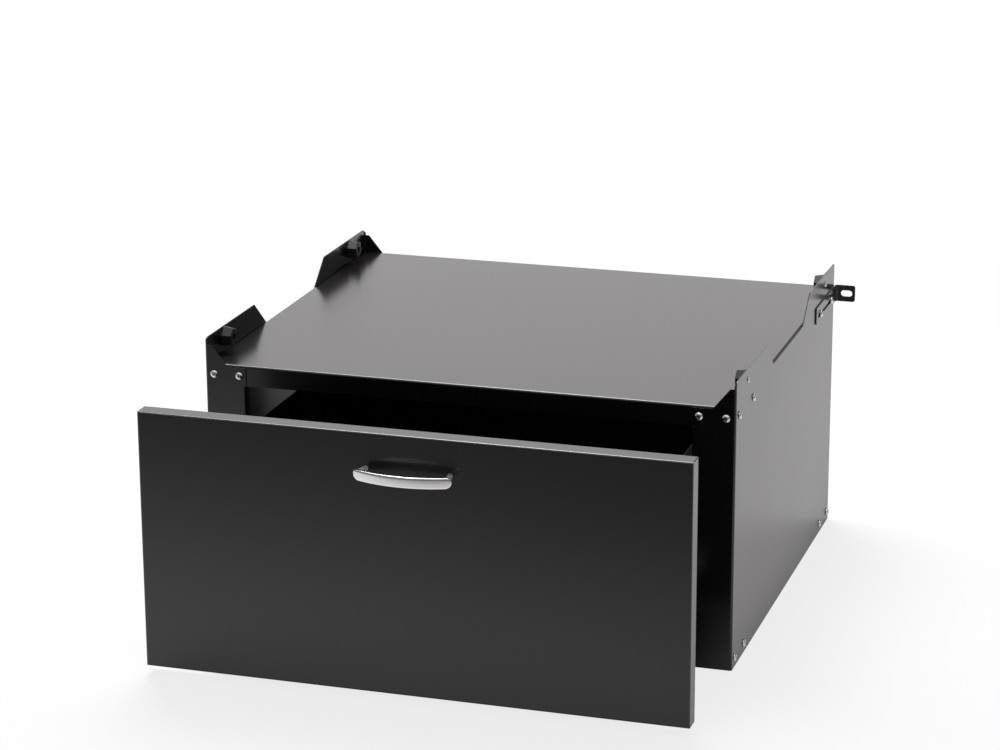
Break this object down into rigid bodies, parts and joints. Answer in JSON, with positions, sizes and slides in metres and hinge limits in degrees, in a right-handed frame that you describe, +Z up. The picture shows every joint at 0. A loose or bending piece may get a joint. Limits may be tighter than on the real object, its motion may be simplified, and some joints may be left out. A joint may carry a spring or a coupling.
{
  "type": "washing machine base with drawer",
  "caption": "Low black sheet-steel base for a washing machine, with ears and rubber buffers round its flat top, wall brackets and a wide drawer on telescopic runners.",
  "frame": {"origin": "on the floor, below the middle of the cabinet, in the underside of the base plate", "axes": "+X to the right seen from the front, +Y to the rear, +Z up"},
  "size_m": [0.682, 0.7785, 0.34],
  "materials": {
    "black_paint": "satin black powder coat",
    "black_rubber": "matt moulded rubber",
    "zinc_screw": "bright zinc plate",
    "painted_rivet": "painted over in black",
    "runner_steel": "galvanised, rolled",
    "cage_steel": "bare stamped strip",
    "ball_steel": "polished",
    "satin_chrome": "satin chrome on a zinc casting"
  },
  "bodies": {
    "cabinet": {"left_side_panel": "black_paint", "right_side_panel": "black_paint", "top_plate": "black_paint", "base_plate": "black_paint", "left_stiffener": "black_paint", "right_stiffener": "black_paint", "left_front_buffer": "black_rubber", "left_rear_buffer": "black_rubber", "right_front_buffer": "black_rubber", "right_rear_buffer": "black_rubber", "upper_side_screws": "zinc_screw", "lower_side_screws": "zinc_screw", "wall_bracket_screws": "zinc_screw", "buffer_screws": "zinc_screw", "cabinet_runner_screws": "zinc_screw", "front_post_screws": "zinc_screw", "rear_post_screws": "zinc_screw", "left_cabinet_runner": "runner_steel", "right_cabinet_runner": "runner_steel"},
    "drawer": {"drawer_front": "black_paint", "drawer_tray": "black_paint", "drawer_inner_front": "black_paint", "drawer_back_wall": "black_paint", "drawer_rivets": "painted_rivet", "drawer_front_nuts": "zinc_screw", "handle": "satin_chrome", "handle_screws": "zinc_screw", "left_drawer_runner": "runner_steel", "right_drawer_runner": "runner_steel", "drawer_runner_screws": "zinc_screw"},
    "left_middle_runner": {"left_middle_runner": "runner_steel"},
    "left_outer_cage": {"left_outer_ball_cage": "cage_steel", "left_outer_balls": "ball_steel"},
    "left_inner_cage": {"left_inner_ball_cage": "cage_steel", "left_inner_balls": "ball_steel"},
    "left_bracket": {"left_wall_bracket": "black_paint"},
    "right_middle_runner": {"right_middle_runner": "runner_steel"},
    "right_outer_cage": {"right_outer_ball_cage": "cage_steel", "right_outer_balls": "ball_steel"},
    "right_inner_cage": {"right_inner_ball_cage": "cage_steel", "right_inner_balls": "ball_steel"},
    "right_bracket": {"right_wall_bracket": "black_paint"}
  },
  "joints": [
    {"name": "drawer_slide", "type": "slide", "parent": "cabinet", "child": "drawer", "axis": [0, -1, 0], "range_m": [-0.171, 0.269]},
    {"name": "left_middle_runner_slide", "type": "slide", "parent": "cabinet", "child": "left_middle_runner", "axis": [0, -1, 0], "range_m": [-0.086, 0.135]},
    {"name": "left_outer_cage_slide", "type": "slide", "parent": "cabinet", "child": "left_outer_cage", "axis": [0, -1, 0], "range_m": [-0.043, 0.0675]},
    {"name": "left_inner_cage_slide", "type": "slide", "parent": "cabinet", "child": "left_inner_cage", "axis": [0, -1, 0], "range_m": [-0.129, 0.2025]},
    {"name": "left_bracket_slide", "type": "slide", "parent": "cabinet", "child": "left_bracket", "axis": [0, 1, 0], "range_m": [-0.0035, 0.014]},
    {"name": "right_middle_runner_slide", "type": "slide", "parent": "cabinet", "child": "right_middle_runner", "axis": [0, -1, 0], "range_m": [-0.086, 0.135]},
    {"name": "right_outer_cage_slide", "type": "slide", "parent": "cabinet", "child": "right_outer_cage", "axis": [0, -1, 0], "range_m": [-0.043, 0.0675]},
    {"name": "right_inner_cage_slide", "type": "slide", "parent": "cabinet", "child": "right_inner_cage", "axis": [0, -1, 0], "range_m": [-0.129, 0.2025]},
    {"name": "right_bracket_slide", "type": "slide", "parent": "cabinet", "child": "right_bracket", "axis": [0, 1, 0], "range_m": [-0.0035, 0.014]}
  ],
  "couplings": [
    {"joint": "left_middle_runner_slide", "follows": "drawer_slide", "ratio": 0.5},
    {"joint": "left_outer_cage_slide", "follows": "drawer_slide", "ratio": 0.25},
    {"joint": "left_inner_cage_slide", "follows": "drawer_slide", "ratio": 0.75},
    {"joint": "right_middle_runner_slide", "follows": "drawer_slide", "ratio": 0.5},
    {"joint": "right_outer_cage_slide", "follows": "drawer_slide", "ratio": 0.25},
    {"joint": "right_inner_cage_slide", "follows": "drawer_slide", "ratio": 0.75}
  ]
}
